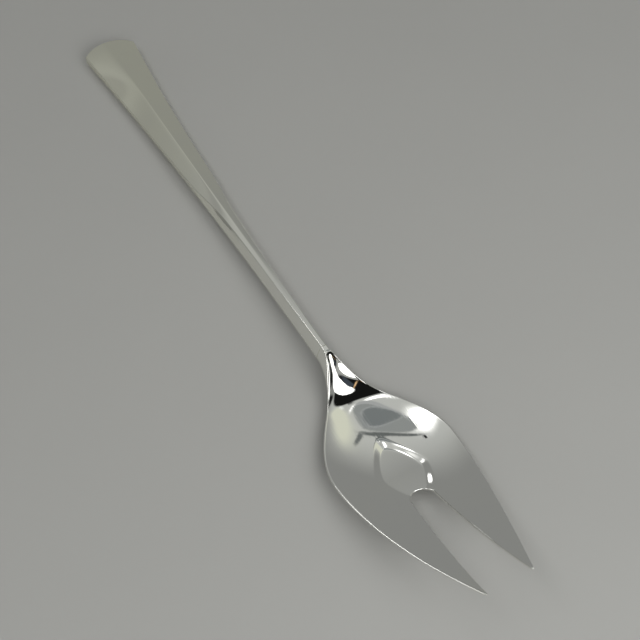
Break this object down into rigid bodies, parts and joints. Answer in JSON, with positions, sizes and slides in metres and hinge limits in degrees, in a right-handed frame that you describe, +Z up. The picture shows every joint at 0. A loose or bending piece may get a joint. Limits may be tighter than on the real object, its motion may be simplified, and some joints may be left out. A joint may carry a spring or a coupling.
{
  "type": "serving fork",
  "caption": "Two-tined serving fork with a broad shallow bowl, a sunk lozenge above the slot, and a hollow faceted handle that flares to a bowed end.",
  "frame": {"origin": "on the table, under the middle of the fork's length", "axes": "+X from the handle's end to the tine tips, +Y across to the fork's left when it is seen from the handle's end, +Z up from the table, the bowl's hollow side"},
  "size_m": [0.232, 0.034, 0.0197],
  "materials": {
    "silver": "mirror-polished silver, slightly warm",
    "cement": "dull set cement",
    "solder": "polished silver solder"
  },
  "bodies": {
    "root": {"fork_head": "silver", "handle_front_shell": "silver", "handle_back_shell": "silver", "handle_filler": "cement", "seam_solder": "solder", "neck_solder": "solder"}
  },
  "joints": []
}
